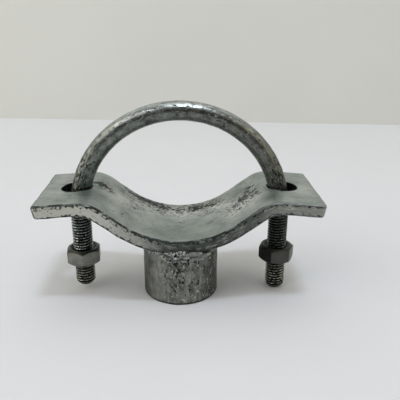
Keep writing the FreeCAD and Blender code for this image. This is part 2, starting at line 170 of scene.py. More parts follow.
def makeStrap(values):
    thick = values["thickness"]
    wrap = math.radians(values["wrap"])
    droop = math.radians(values["droop"])
    width = (strapHigh.y - strapLow.y) / mm
    under = strapLow.z / mm
    seatCentre = (0, under + thick + values["seatRadius"])
    bendOuter = values["bendInner"] + thick
    seat = values["seatRadius"]
    flankStart = (seat * math.sin(wrap), seatCentre[1] - seat * math.cos(wrap))
    flankEnd = (flankStart[0] + values["flank"] * math.cos(wrap),
                flankStart[1] + values["flank"] * math.sin(wrap))
    bendCentre = (flankEnd[0] + bendOuter * math.sin(wrap), flankEnd[1] - bendOuter * math.cos(wrap))
    earStart = bendCentre[0] + bendOuter * math.sin(droop)
    earLength = (strapHigh.x / mm - earStart) / math.cos(droop)

    def spread(length):  # mesh steps along a stretch
        return round(length / values["spacing"])

    bpy.ops.mesh.primitive_grid_add(x_subdivisions=values["rows"], y_subdivisions=spread(width), size=1,
                                    rotation=(0, math.pi / 2, 0))
    section = bpy.context.object
    section.scale = (thick * mm, width * mm, 1)
    section.location.z = (under + thick / 2) * mm
    strap = justAdded("saddle_strap_galvanised")
    depths = strap.data.attributes.new("depth", "FLOAT", "POINT")  # below the top, for the finish
    for vertex in strap.data.vertices:
        depths.data[vertex.index].value = (under + thick) * mm - vertex.co.z
    bpy.ops.object.mode_set(mode="EDIT")
    bpy.ops.mesh.select_all(action="SELECT")
    bpy.ops.mesh.spin(steps=spread(wrap * seat), angle=wrap, center=(0, 0, seatCentre[1] * mm),
                      axis=(0, 1, 0))
    steps = spread(values["flank"])
    stretch = values["flank"] / steps
    for _ in range(steps):
        extrude(stretch * math.cos(wrap) * mm, 0, stretch * math.sin(wrap) * mm)
    bpy.ops.mesh.spin(steps=spread((wrap + droop) * bendOuter), angle=-wrap - droop,
                      center=(bendCentre[0] * mm, 0, bendCentre[1] * mm), axis=(0, 1, 0))
    steps = spread(earLength - values["endRow"])
    stretches = [(earLength - values["endRow"]) / steps] * steps + [values["endRow"]]
    for stretch in stretches:
        extrude(stretch * math.cos(droop) * mm, 0, -stretch * math.sin(droop) * mm)
    bpy.ops.object.mode_set(mode="OBJECT")

    def outAlongEar(point):
        return point.x * math.cos(droop) - point.z * math.sin(droop)

    def upFromEar(point):
        return point.x * math.sin(droop) + point.z * math.cos(droop)

    farthest = max(outAlongEar(vertex.co) for vertex in strap.data.vertices)
    endTop = max(upFromEar(vertex.co) for vertex in strap.data.vertices
                 if outAlongEar(vertex.co) > farthest - sameRow * mm)
    for row in range(1, values["rows"] + 1):  # leans the sheared end, row by row
        depth = thick * row / values["rows"]
        lean = depth * math.tan(math.radians(values["endSlant"])) * mm
        choose(strap, "VERT", lambda vertex: outAlongEar(vertex.co) > farthest - sameRow * mm
               and abs(endTop - depth * mm - upFromEar(vertex.co)) < sameRow * mm)
        bpy.ops.transform.translate(value=(-lean * math.cos(droop), 0, lean * math.sin(droop)))
    choose(strap, "FACE", lambda face: face.center.x < onMirror * mm)  # opens the middle for the mirror
    bpy.ops.mesh.delete(type="FACE")
    bpy.ops.object.mode_set(mode="OBJECT")
    finishWith(strap, "MIRROR", use_axis=(True, False, False), merge_threshold=onMirror * mm)
    closeUp(strap)
    finishWith(strap, "BEVEL", width=values["edge"] * mm, segments=values["edgeSegments"],
               limit_method="ANGLE", angle_limit=math.radians(values["sharpAngle"]))
    for side in (-1, 1):
        bpy.ops.mesh.primitive_cylinder_add(
            vertices=values["holeSegments"], radius=values["holeDiameter"] / 2 * mm,
            depth=values["cutterLength"] * mm, location=(side * values["holeX"] * mm, 0, strapHigh.z))
        combine(strap, "DIFFERENCE", justAdded("hole_cutter"))
    unevenCoat(strap, values["coatSize"], values["coatDepth"], values["coatLevel"])
    softShade(strap, values["shadeAngle"])
    print("bar bent, drilled and coated")
    return strap


# Tube stub under the seat

stubLow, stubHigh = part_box("stub_tube")
stubValues = {
    "wall": 3.2,
    "rim": 0.3,  # softened rims
    "rimSegments": 3,
    "sharpAngle": 60.0,
    "shadeAngle": 60.0,
    "segments": 160,
    "rows": 40,
    "coatSize": 5.0,
    "coatDepth": 0.25,
    "coatLevel": 1.0,
}


def makeStub(values):
    height = stubHigh.z - stubLow.z
    bpy.ops.mesh.primitive_circle_add(vertices=values["segments"], radius=stubHigh.x,
                                      fill_type="NOTHING", location=(0, 0, stubLow.z))
    stub = justAdded("stub_tube_galvanised")
    bpy.ops.object.mode_set(mode="EDIT")
    bpy.ops.mesh.select_all(action="SELECT")
    for _ in range(values["rows"]):
        extrude(0, 0, height / values["rows"])
    bpy.ops.mesh.select_all(action="SELECT")
    bpy.ops.mesh.normals_make_consistent(inside=False)
    bpy.ops.object.mode_set(mode="OBJECT")
    finishWith(stub, "SOLIDIFY", thickness=values["wall"] * mm, offset=-1)
    finishWith(stub, "BEVEL", width=values["rim"] * mm, segments=values["rimSegments"],
               limit_method="ANGLE", angle_limit=math.radians(values["sharpAngle"]))
    unevenCoat(stub, values["coatSize"], values["coatDepth"], values["coatLevel"])
    softShade(stub, values["shadeAngle"])
    print("stub cut and coated")
    return stub


# Uneven weld round the top of the stub

weldLow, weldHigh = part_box("weld_bead")
weldValues = {
    "root": 16.95,  # inner radius, just outside the stub's bore
    "bite": 0.7,  # how far the bead runs up into the bar
    "lumps": [  # crinkled stretches: centre, half sizes, rise
        ((-9.0, -21.8, 30.4), (3.4, 1.9, 1.9), -10), ((-4.5, -23.1, 31.2), (3.2, 1.6, 1.7), -4),
        ((0.2, -23.3, 31.4), (3.0, 1.5, 1.6), 0), ((-6.5, -21.6, 28.4), (3.4, 1.7, 1.7), 0),
        ((-1.5, -22.1, 28.8), (3.4, 1.7, 1.7), 0), ((2.5, -21.8, 28.6), (2.6, 1.6, 1.6), 0),
        ((-4.0, -21.0, 26.4), (3.6, 1.5, 1.6), 0), ((1.0, -21.1, 26.3), (3.4, 1.5, 1.6), 0),
        ((5.5, -20.8, 26.3), (3.0, 1.4, 1.4), 0), ((-13.5, -18.6, 30.4), (4.0, 1.6, 1.4), -20),
        ((-4.0, 22.6, 30.8), (8.0, 1.7, 1.7), 0), ((8.0, 21.0, 29.0), (5.0, 1.7, 1.5), 10),
        ((-21.6, 0.0, 32.6), (1.3, 7.0, 1.5), 0), ((21.6, 2.0, 32.6), (1.3, 6.0, 1.5), 0)],
    "tongues": [  # smooth stretches that ran over it last
        ((6.2, -23.2, 30.8), (4.4, 1.5, 1.5), 6), ((10.6, -21.2, 29.3), (4.2, 1.8, 1.6), 14),
        ((7.2, -21.6, 27.7), (4.0, 1.5, 1.3), -6), ((14.6, -18.8, 31.2), (3.4, 1.7, 1.2), 24),
        ((2.0, 22.4, 28.8), (5.0, 1.2, 1.2), -8)],
    "ring": [(-0.6, 0.3), (0.4, 0.8), (2.0, -2.2), (-0.3, 0.0)],  # out and up from wall, toe and bar
    "ringSegments": 128,
    "lumpSegments": 32,
    "lumpRings": 20,
    "boreSegments": 96,
    "boreHeight": 60.0,
    "underSegments": 256,
    "shadeAngle": 50.0,
    "voxel": 0.32,
    "softening": 2,
    "softStep": 0.5,
    "waveLevel": 0.55,
    "waves": [(2.6, 1.25), (1.3, 0.6)],  # size and depth of the crinkles
}


def makeWeld(values):
    toe, wall, outer = weldLow.z / mm, stubHigh.x / mm, weldHigh.x / mm
    brow = strapLow.z / mm
    starts = [(wall, toe), (wall, toe), (wall, brow), (outer, brow)]
    rings = [(radius + out, height + up) for (radius, height), (out, up) in zip(starts, values["ring"])]
    rings.append((rings[-1][0], weldHigh.z / mm))
    weld = turned("weld_bead_galvanised", (0, 0), rings, values["ringSegments"])

    def addLump(centre, sizes, rise):
        bpy.ops.mesh.primitive_uv_sphere_add(segments=values["lumpSegments"],
                                             ring_count=values["lumpRings"], radius=mm,
                                             rotation=(0, math.radians(-rise), 0),
                                             location=[part * mm for part in centre])
        bpy.context.object.scale = sizes
        return justAdded("weld_lump")

    combine(weld, "UNION", *[addLump(*lump) for lump in values["lumps"]])
    finishWith(weld, "REMESH", mode="VOXEL", voxel_size=values["voxel"] * mm)
    finishWith(weld, "SMOOTH", factor=values["softStep"], iterations=values["softening"])
    for size, depth in values["waves"]:
        unevenCoat(weld, size, depth, values["waveLevel"])
    combine(weld, "UNION", *[addLump(*lump) for lump in values["tongues"]])
    bore = turned("weld_bore", (0, 0), [(values["root"], 0), (values["root"], values["boreHeight"])],
                  values["boreSegments"])
    underRadius = strapValues["seatRadius"] + strapValues["thickness"]
    bpy.ops.mesh.primitive_cylinder_add(
        vertices=values["underSegments"], radius=(underRadius - values["bite"]) * mm,
        depth=strapHigh.y - strapLow.y - values["bite"] * mm,
        location=(0, 0, strapLow.z + underRadius * mm), rotation=(math.pi / 2, 0, 0))
    combine(weld, "DIFFERENCE", bore, justAdded("strap_underside"))
    softShade(weld, values["shadeAngle"])
    print("weld laid")
    return weld


# U-bolt: bent plain rod with a right-hand thread on each leg

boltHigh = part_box("u_bolt")[1]
boltValues = {
    "rod": 9.5,
    "thread": 10.0,
    "pitch": 1.5,
    "core": 8.3,
    "threadFoot": 0.35,  # how far a thread's ridge is sunk into the core
    "threadRound": 0.06,  # rounding of its crest
    "ridge": (0.04, 0.10, 0.40, 0.46),  # shares of the pitch at its foot, core, brink and crest
    "threadTop": 42.5,
    "intoRod": 0.6,  # how far a leg runs on into the plain rod
    "tipCone": 1.1,  # height of the core's cone at the tip
    "runOut": 1.0,
    "tipLength": 2.0,
    "tipDiameter": 6.6,
    "tipHeights": {"left": 3.3, "right": 0.4},  # the left leg is the shorter one
    "segments": 56,
    "legSegments": 96,
    "archSteps": 128,
    "shadeAngle": 40.0,
    "coatSize": 4.0,
    "coatDepth": 0.22,
    "coatLevel": 1.0,
}
legX = boltHigh.x / mm - boltValues["thread"] / 2
archZ = boltHigh.z / mm - legX - boltValues["rod"] / 2


def makeArch(values):
    bpy.ops.mesh.primitive_circle_add(
        vertices=values["segments"], radius=values["rod"] / 2 * mm, fill_type="NOTHING",
        location=(legX * mm, 0, (values["threadTop"] - values["runOut"]) * mm))
    arch = justAdded("u_bolt_galvanised")
    straight = (archZ - values["threadTop"] + values["runOut"]) * mm
    bpy.ops.object.mode_set(mode="EDIT")
    bpy.ops.mesh.select_all(action="SELECT")
    extrude(0, 0, straight)
    bpy.ops.mesh.spin(steps=values["archSteps"], angle=math.pi, center=(0, 0, archZ * mm), axis=(0, 1, 0))
    extrude(0, 0, -straight)
    bpy.ops.object.mode_set(mode="OBJECT")
    closeUp(arch)
    unevenCoat(arch, values["coatSize"], values["coatDepth"], values["coatLevel"])
    return arch


def makeLeg(values, side, x):
    tip = values["tipHeights"][side]
    crest, core = values["thread"] / 2, values["core"] / 2
    top = values["threadTop"]
    legTop = top + values["intoRod"]
    envelope = turned("leg_envelope", (0, 0), [
        (values["tipDiameter"] / 2, tip), (crest, tip + values["tipLength"]),
        (crest, top - values["runOut"]), (core, legTop)], values["legSegments"])
    leg = turned("u_bolt_leg", (0, 0), [
        (values["tipDiameter"] / 2, tip), (core, tip + values["tipCone"]), (core, legTop)],
        values["legSegments"])
    pitch = values["pitch"]
    foot, brink = core - values["threadFoot"], crest - values["threadRound"]
    ridge = list(zip((foot, core, brink, crest), values["ridge"]))
    ridge += [(radius, 1 - share) for radius, share in reversed(ridge)]
    bpy.ops.mesh.primitive_plane_add(size=mm)
    thread = justAdded("leg_thread")
    bpy.ops.object.mode_set(mode="EDIT")
    bpy.ops.mesh.select_all(action="SELECT")
    bpy.ops.mesh.merge(type="CENTER")
    radius, share = ridge[0]
    bpy.ops.transform.translate(value=(radius * mm, 0, share * pitch * mm))
    for nextRadius, nextShare in ridge[1:]:
        bpy.ops.mesh.extrude_vertices_move(TRANSFORM_OT_translate={
            "value": ((nextRadius - radius) * mm, 0, (nextShare - share) * pitch * mm)})
        radius, share = nextRadius, nextShare
    bpy.ops.mesh.select_all(action="SELECT")
    bpy.ops.mesh.edge_face_add()
    bpy.ops.mesh.delete(type="ONLY_FACE")
    bpy.ops.object.mode_set(mode="OBJECT")
    turns = math.ceil((top - tip) / pitch) + 1
    finishWith(thread, "SCREW", axis="Z", angle=2 * math.pi, screw_offset=pitch * mm,
               steps=values["segments"], render_steps=values["segments"], iterations=turns)
    closeUp(thread)
    combine(thread, "INTERSECT", envelope)
    combine(leg, "UNION", thread)
    takeUp(leg)
    leg.location.x = x * mm
    bpy.ops.object.transform_apply(location=True, rotation=False, scale=False)
    return leg


def makeBolt(values):
    bolt = makeArch(values)
    combine(bolt, "UNION", makeLeg(values, "right", legX), makeLeg(values, "left", -legX))
    softShade(bolt, values["shadeAngle"])
    print("U-bolt bent and threaded")
    return bolt


# Hexagon nuts with turned ends

nutValues = {
    "sides": 6,
    "acrossFlats": 16.0,
    "bevelAngle": 36.0,
    "faceRatio": 0.9,
    "bore": 10.16,
    "countersink": 0.7,
    "sinkBeyond": 1.0,  # how far the countersink's cone runs on past the face
    "edge": 0.3,  # softened by the zinc
    "edgeSegments": 3,
    "sharpAngle": 18.0,
    "shadeAngle": 35.0,
    "lensSegments": 96,
    "boreSegments": 64,
    "turns": {"left_nut": 36.0, "right_nut": 5.0},
}


def makeNut(values, node):
    low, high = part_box(node)
    place = ((low.x + high.x) / 2 / mm, 0)
    base, top = low.z / mm, high.z / mm
    halfSide = 180 / values["sides"]
    corner = values["acrossFlats"] / 2 / math.cos(math.radians(halfSide))
    face = values["acrossFlats"] / 2 * values["faceRatio"]
    beyond = 2 * corner - face
    fall = (beyond - face) * math.tan(math.radians(values["bevelAngle"]))
    bore, sink, past = values["bore"] / 2, values["countersink"], values["sinkBeyond"]
    bpy.ops.mesh.primitive_cylinder_add(
        vertices=values["sides"], radius=corner * mm, depth=(top - base) * mm,
        location=(place[0] * mm, 0, (base + top) / 2 * mm),
        rotation=(0, 0, math.radians(values["turns"][node] + halfSide)))
    nut = justAdded(f"{node}_galvanised")
    combine(nut, "INTERSECT", turned("nut_lens", place, [
        (face, base), (beyond, base + fall), (beyond, top - fall), (face, top)],
        values["lensSegments"]))
    combine(nut, "DIFFERENCE", turned("nut_bore", place, [
        (bore + sink + past, base - past), (bore, base + sink), (bore, top - sink),
        (bore + sink + past, top + past)], values["boreSegments"]))
    finishWith(nut, "BEVEL", width=values["edge"] * mm, segments=values["edgeSegments"],
               limit_method="ANGLE", angle_limit=math.radians(values["sharpAngle"]),
               use_clamp_overlap=True)
    softShade(nut, values["shadeAngle"])
    print(node, "turned")
    return nut


# Hot-dip galvanised finishes

share, under, over = 0, 6, 7  # inputs of a colour Mix node
eased = {"interpolation_type": "SMOOTHSTEP"}  # soft ends for a MapRange node


def linear(hexCode):  # sRGB hex to a linear colour
    parts = [int(hexCode[place:place + 2], 16) / 255 for place in (1, 3, 5)]
    return tuple(part / 12.92 if part <= 0.04045 else ((part + 0.055) / 1.055) ** 2.4
                 for part in parts) + (1.0,)


def perMetre(size):  # texture scale for a feature of this many millimetres
    return 1 / (size * mm)


def addNode(tree, kind, values=None, links=None, stops=None, **settings):  # gives what it puts out
    node = tree.nodes.new(f"ShaderNode{kind}")
    for key, value in settings.items():
        setattr(node, key, value)
    for key, value in (values or {}).items():
        node.inputs[key].default_value = value
    for key, socket in (links or {}).items():
        tree.links.new(socket, node.inputs[key])
    for index, (position, colour) in enumerate(stops or []):
        ramp = node.color_ramp.elements
        stop = ramp[index] if index < 2 else ramp.new(position)
        stop.position = position
        stop.color = linear(colour)
    live = [socket for socket in node.outputs if socket.enabled]
    return live[0] if len(live) == 1 else node.outputs


def startFinish(name, look):  # a new material, with each point's place, its parts and its facing
    material = bpy.data.materials.new(name)
    material.use_nodes = True
    tree = material.node_tree
    tree.nodes["Principled BSDF"].inputs["Metallic"].default_value = look["metallic"]
    coords = addNode(tree, "TexCoord")
    where, facing = [addNode(tree, "SeparateXYZ", links={"Vector": coords[key]})
                     for key in ("Object", "Normal")]
    return material, tree, coords["Object"], where, facing


zincPattern = {  # how finely the zinc's patterns break up
    "cloud": {"Detail": 5.0, "Roughness": 0.6},
    "cloudRange": (0.34, 0.66),
    "fleck": {"Detail": 4.0, "Roughness": 0.65},
    "line": {"Detail": 3.0, "Roughness": 0.6},
    "lineMiddle": 0.5,
    "glossRange": (0.2, 0.8),
}


def clouds(tree, place, look):  # broad soft greys of the zinc, and their pattern
    cloud = addNode(tree, "TexNoise", {"Scale": perMetre(look["cloudSize"]), **zincPattern["cloud"]},
                    {"Vector": place})["Fac"]
    dark, pale = zincPattern["cloudRange"]
    tone = addNode(tree, "ValToRGB", links={"Fac": cloud}, stops=[
        (dark, look["shade"]), (pale, look["light"])])
    return tone["Color"], cloud


def drawnOut(tree, place, mark, grain):  # noise stretched along the marks
    stretched = addNode(tree, "Mapping", {"Scale": mark["stretch"]}, {"Vector": place})
    return addNode(tree, "TexNoise", {"Scale": perMetre(mark["size"]), "Distortion": mark["bend"],
                                      **zincPattern[grain]}, {"Vector": stretched})["Fac"]


def flecks(tree, place, mark, density=None):  # marks where the noise stands high
    level = drawnOut(tree, place, mark, "fleck")
    if density is not None:
        level = addNode(tree, "Math", links={0: level, 1: density}, operation="ADD")
    return addNode(tree, "MapRange", {"From Min": mark["from"], "From Max": mark["from"] + mark["soft"]},
                   {"Value": level}, **eased)


def scratches(tree, place, mark):  # thin lines where the noise passes its middle
    off = addNode(tree, "Math", {1: zincPattern["lineMiddle"]}, {0: drawnOut(tree, place, mark, "line")},
                  operation="SUBTRACT")
    off = addNode(tree, "Math", links={0: off}, operation="ABSOLUTE")
    return addNode(tree, "MapRange", {"From Min": mark["width"], "From Max": 0.0}, {"Value": off}, **eased)


def nearSpots(tree, place, spots):  # rises towards each spot: centre, radius, amount
    total = None
    for centre, radius, amount in spots:
        away = addNode(tree, "VectorMath", {1: [part * mm for part in centre]}, {0: place},
                       operation="DISTANCE")
        near = addNode(tree, "MapRange", {"From Min": radius * mm, "From Max": 0.0, "To Max": amount},
                       {"Value": away}, **eased)
        total = near if total is None else addNode(tree, "Math", links={0: total, 1: near}, operation="ADD")
    return total


def fromAxis(tree, where, axisX):  # distance from the upright axis at this X, left or right
    outward = addNode(tree, "Math", links={0: where["X"]}, operation="ABSOLUTE")
    off = addNode(tree, "Math", {1: axisX * mm}, {0: outward}, operation="SUBTRACT")
    spoke = addNode(tree, "CombineXYZ", links={"X": off, "Y": where["Y"]})
    return addNode(tree, "VectorMath", links={0: spoke}, operation="LENGTH")


def dress(tree, look, tone, relief):  # joins colour, gloss and fine relief to the shader
    shader = tree.nodes["Principled BSDF"]
    low, high = zincPattern["glossRange"]
    dull, bright = look["roughness"]
    gloss = addNode(tree, "MapRange", {"From Min": low, "From Max": high,
                                       "To Min": dull, "To Max": bright}, {"Value": relief})
    bump = addNode(tree, "Bump", {"Distance": look["reliefDepth"] * mm}, {"Height": relief})
    tree.links.new(tone, shader.inputs["Base Color"])
    tree.links.new(gloss, shader.inputs["Roughness"])
    tree.links.new(bump, shader.inputs["Normal"])


# The marks below are finer on real zinc, and are drawn coarse enough to show in the render.

# Flat bar, hot-dip galvanised: dull, pale zinc with a green cast, dross scratches, painted light and shade
# on the sides and painted shade along the edges
barLook = {
    "shade": "#838d87",
    "light": "#adb4ad",
    "cloudSize": 11.0,
    "metallic": 0.75,
    "roughness": (0.5, 0.34),
    "reliefDepth": 0.12,
    "pale": "#cbcfca",
    "paleSpots": [((-29, 3, 48), 15, 0.7), ((31, -6, 49), 17, 1.0), ((-61, -6, 55), 11, 0.35),
                  ((60, -2, 55), 12, 0.35), ((-17, 10, 40), 13, 0.7), ((2, 12, 37.5), 14, 0.9),
                  ((19, 8, 41), 13, 0.95)],
    "patch": "#66736d",
    "patchSpots": [((-43, -9, 56), 12, 0.8), ((42, -15, 56), 9, 0.7), ((0, -14, 37), 16, 0.45),
                   ((-14, -16, 39), 11, 0.35), ((51, 0, 56), 11, 0.35)],
    "spotGain": 2.0,
    "grain": {"size": 1.6, "stretch": (0.5, 1.0, 1.0), "bend": 0.4, "from": 0.3, "soft": 0.4},
    "scuff": "#272c2a",
    "scuffs": {"size": 2.4, "stretch": (0.6, 1.0, 1.0), "bend": 1.2, "from": 0.66, "soft": 0.03},
    "scuffSpots": [
        ((-41, 7.5, 55.5), 7, 0.24), ((-37, 6, 53), 6, 0.22), ((-35, 2, 51), 4, 0.12),
        ((-27, 21, 45.5), 8, 0.20), ((-20, 19, 41.5), 9, 0.21), ((-12, 18, 39), 9, 0.19),
        ((-4, 17, 37.4), 10, 0.15), ((6, 17, 37.4), 9, 0.14), ((12, 16, 38.5), 10, 0.15),
        ((20, 16, 41.5), 9, 0.13), ((33, 2, 50.5), 9, 0.20), ((30, -4, 48), 7, 0.14),
        ((37, -5, 53.5), 6, 0.16), ((35, 9, 52), 7, 0.15), ((-47, -12, 56), 5, 0.10),
        ((-24, 3, 44), 5, 0.10), ((-27, -13, 46), 5, 0.10)],
    "lines": {"size": 4.0, "stretch": (0.8, 1.0, 1.0), "bend": 0.8, "width": 0.05},
    "lineBreaks": {"size": 2.4, "stretch": (1.0, 1.0, 1.0), "bend": 0.2, "from": 0.36, "soft": 0.14},
    "lineSpots": [
        ((-38, 6, 54), 11, 1.0), ((33, 0, 50.5), 15, 1.4), ((28, -6, 47), 12, 1.2),
        ((-16, 15, 40), 15, 1.3), ((-3, 15, 37.4), 16, 1.4), ((11, 15, 38), 16, 1.4),
        ((-26, 15, 45), 12, 1.0), ((-23, 2, 44), 9, 0.9), ((20, 10, 41), 14, 0.9),
        ((0, -6, 37), 12, 0.45), ((-50, -13, 56), 10, 0.5)],
    # painted light and shade on the sides: pale at the left end, where light falls from the left, dark in
    # the middle and towards the right
    "sideLightAndShade": [(0.02, "#bcbcb2"), (0.22, "#bfc0b7"), (0.36, "#989b93"), (0.45, "#50554f"),
                  (0.62, "#464b46"), (0.76, "#595d57"), (0.84, "#84857f"), (1.0, "#8e8f88")],
    "streak": "#c6cac4",
    "streaks": {"size": 1.5, "stretch": (0.25, 1.0, 1.0), "bend": 0.3, "from": 0.48, "soft": 0.24},
    "streakAmount": 0.45,
    "sideScuffs": {"size": 1.1, "stretch": (0.6, 1.0, 1.0), "bend": 0.5, "from": 0.6, "soft": 0.07},
    "brow": (2.8, 0.4, 0.14),  # more marks under the top edge: between these depths, how many
    "sill": (3.9, 5.8, 0.20),  # and over the bottom edge
    # painted shade along the edges, turning paler on the right ear where its edge catches the light
    "edgeShadeAndHighlight": [(0.0, "#3b403d"), (0.1, "#2b302e"), (0.7, "#232826"), (0.82, "#6d726e"),
                  (1.0, "#8a8f8b")],
    "edgeBreaks": {"size": 2.2, "stretch": (0.5, 1.0, 1.0), "bend": 0.3, "from": 0.30, "soft": 0.25},
    "rolledLean": (0.12, 0.28),  # lean to the sides of the rolled edges,
    "sideLean": (0.6, 0.95),  # of the sides,
    "flatLean": (0.86, 0.97),  # and of their flat middle
    "endLean": (0.2, 0.35),  # lean to the ends of the end edges,
    "endFlat": (0.8, 0.93),  # and of the sheared faces
    "endReach": (2.5, 2.0),  # end edges lie this close to the end
    "rim": 1.0,  # the dark line's reach in from the bar's sides,
    "sillRim": 0.6,  # and up from the bottom edge
    # painted shadow along the bottom of the front face, where the weld meets the bar
    "weldShadowSpots": [((-8, -24, 32.6), 3.2, 0.7), ((-4, -24, 32.8), 3, 0.8), ((0, -24, 33), 3, 0.8),
                  ((3.4, -24, 32.8), 2.6, 1.0), ((6.4, -24, 32.8), 3.2, 1.2), ((11, -23.8, 33), 3, 0.7)],
    "holeShade": "#1b1e1d",
    "holeRim": 0.5,
}


def barFinish(name, look):
    material, tree, place, where, facing = startFinish(name, look)
    outward, offMiddle, endways, sideways = [
        addNode(tree, "Math", links={0: part}, operation="ABSOLUTE")
        for part in (where["X"], where["Y"], facing["X"], facing["Y"])]
    along = addNode(tree, "MapRange", {"From Min": strapLow.x, "From Max": strapHigh.x},
                    {"Value": where["X"]})
    depth = addNode(tree, "Attribute", attribute_name="depth")["Fac"]

    tone, cloud = clouds(tree, place, look)
    for colour, spots in (("pale", "paleSpots"), ("patch", "patchSpots")):
        near = addNode(tree, "Math", links={0: nearSpots(tree, place, look[spots]), 1: cloud},
                       operation="MULTIPLY")
        near = addNode(tree, "Math", {1: look["spotGain"]}, {0: near}, operation="MULTIPLY", use_clamp=True)
        tone = addNode(tree, "Mix", {over: linear(look[colour])}, {share: near, under: tone},
                       data_type="RGBA")

    # Scuffs and scratches on the flat faces
    scuff = flecks(tree, place, look["scuffs"], nearSpots(tree, place, look["scuffSpots"]))
    line = addNode(tree, "Math", links={0: scratches(tree, place, look["lines"]),
                                        1: nearSpots(tree, place, look["lineSpots"])},
                   operation="MULTIPLY", use_clamp=True)
    line = addNode(tree, "Math", links={0: line, 1: flecks(tree, place, look["lineBreaks"])},
                   operation="MULTIPLY")
    scuff = addNode(tree, "Math", links={0: scuff, 1: line}, operation="MAXIMUM")
    tone = addNode(tree, "Mix", {over: linear(look["scuff"])}, {share: scuff, under: tone},
                   data_type="RGBA")

    # Streaks and marks on the sides, which follow the bends, over painted light and shade: lighter at the
    # left end, darker in the middle and to the right
    unbent = addNode(tree, "CombineXYZ", links={"X": where["X"], "Z": depth})
    upper, lower = [
        addNode(tree, "MapRange", {"From Min": start * mm, "From Max": full * mm, "To Max": amount},
                {"Value": depth}, **eased)
        for start, full, amount in (look["brow"], look["sill"])]
    density = addNode(tree, "Math", links={0: upper, 1: lower}, operation="ADD")
    streak = addNode(tree, "Math", {1: look["streakAmount"]}, {0: flecks(tree, unbent, look["streaks"])},
                     operation="MULTIPLY")
    # dark scuffs on the sides, and the painted shadow where the weld meets the bar
    sideScuffAndShadow = addNode(tree, "Math", links={0: flecks(tree, unbent, look["sideScuffs"], density),
                                             1: nearSpots(tree, place, look["weldShadowSpots"])},
                        operation="MAXIMUM", use_clamp=True)
    sideToneAndShade = addNode(tree, "ValToRGB", links={"Fac": along}, stops=look["sideLightAndShade"])["Color"]
    for colour, mark in (("streak", streak), ("scuff", sideScuffAndShadow)):
        sideToneAndShade = addNode(tree, "Mix", {over: linear(look[colour])}, {share: mark, under: sideToneAndShade},
                           data_type="RGBA")

    # Painted shade: dark, broken lines along the edges, paler on the right ear where its edge catches the
    # light
    inner, outer = look["endReach"]
    sillEnd = look["sill"][1]
    side, rolled, flat, turning, endFlat, nearEnd, nearRim, sill = [
        addNode(tree, "MapRange", {"From Min": start, "From Max": full}, {"Value": level}, **eased)
        for level, start, full in (
            (sideways, *look["sideLean"]), (sideways, *look["rolledLean"]), (sideways, *look["flatLean"]),
            (endways, *look["endLean"]), (endways, *look["endFlat"]),
            (outward, strapHigh.x - inner * mm, strapHigh.x - outer * mm),
            (offMiddle, strapHigh.y - look["rim"] * mm, strapHigh.y),
            (depth, (sillEnd - look["sillRim"]) * mm, sillEnd * mm))]
    endEdge = addNode(tree, "Math", links={0: turning, 1: endFlat}, operation="SUBTRACT")
    endEdge = addNode(tree, "Math", links={0: nearEnd, 1: endEdge}, operation="MULTIPLY")
    edge = rolled
    for operation, other in (("MAXIMUM", nearRim), ("SUBTRACT", flat), ("MAXIMUM", sill),
                             ("MAXIMUM", endEdge), ("MULTIPLY", flecks(tree, place, look["edgeBreaks"]))):
        edge = addNode(tree, "Math", links={0: edge, 1: other}, operation=operation)
    edgeShadeAndHighlightTone = addNode(tree, "ValToRGB", links={"Fac": along}, stops=look["edgeShadeAndHighlight"])["Color"]
    for mark, colour in ((side, sideToneAndShade), (edge, edgeShadeAndHighlightTone)):
        tone = addNode(tree, "Mix", links={share: mark, under: tone, over: colour}, data_type="RGBA")

    rim = strapValues["holeDiameter"] / 2
    inHole = addNode(tree, "MapRange", {"From Min": (rim + look["holeRim"]) * mm, "From Max": rim * mm},
                     {"Value": fromAxis(tree, where, strapValues["holeX"])}, **eased)
    tone = addNode(tree, "Mix", {over: linear(look["holeShade"])}, {share: inHole, under: tone},
                   data_type="RGBA")
    relief = addNode(tree, "Math", links={0: flecks(tree, place, look["grain"]), 1: scuff},
                     operation="SUBTRACT")
    dress(tree, look, tone, relief)
    return material


# Tube, hot-dip galvanised: mottled zinc, pale crystals and dark dross, smoother on the left, with painted
# shade on its flanks and along its foot
tubeLook = {
    "shade": "#53564f",
    "light": "#84867e",
    "cloudSize": 5.0,
    "metallic": 0.8,
    "roughness": (0.5, 0.34),
    "reliefDepth": 0.25,
    "drip": "#a5a8a0",
    "drips": {"size": 2.0, "stretch": (1.0, 1.0, 0.15), "bend": 0.2, "from": 0.46, "soft": 0.2},
    "dripAmount": 0.5,
    "crystal": "#cdd0c8",
    "crystals": {"size": 1.1, "stretch": (1.0, 1.0, 0.6), "bend": 0.4, "from": 0.56, "soft": 0.1},
    "scuff": "#262a28",
    "scuffs": {"size": 1.2, "stretch": (1.0, 1.0, 0.6), "bend": 0.6, "from": 0.585, "soft": 0.05},
    "scuffSpots": [((-1, -19, 20), 5, 0.12), ((0, -19, 15), 4, 0.10), ((-1, -19, 10), 5, 0.07),
                   ((-6, -18, 14), 5, 0.06), ((8, -17, 12), 6, 0.05), ((12, -15, 4), 6, 0.06),
                   ((-4, -19, 24), 4, 0.09), ((3, -19, 24), 4, 0.10), ((9, -17, 24.5), 4, 0.12)],
    "smooth": (-13.0, -4.0, 0.08),  # fewer marks left of this stretch of X, down to this share
    "flank": "#323532",
    "flankShades": [(-0.7, -0.97, 0.6), (0.35, 0.95, 0.7)],  # painted shade where the wall turns away to the left and right
    "foot": (1.5, 0.6, 0.95),  # painted shade along the foot, where the tube stands on the floor: between these heights, how dark
}


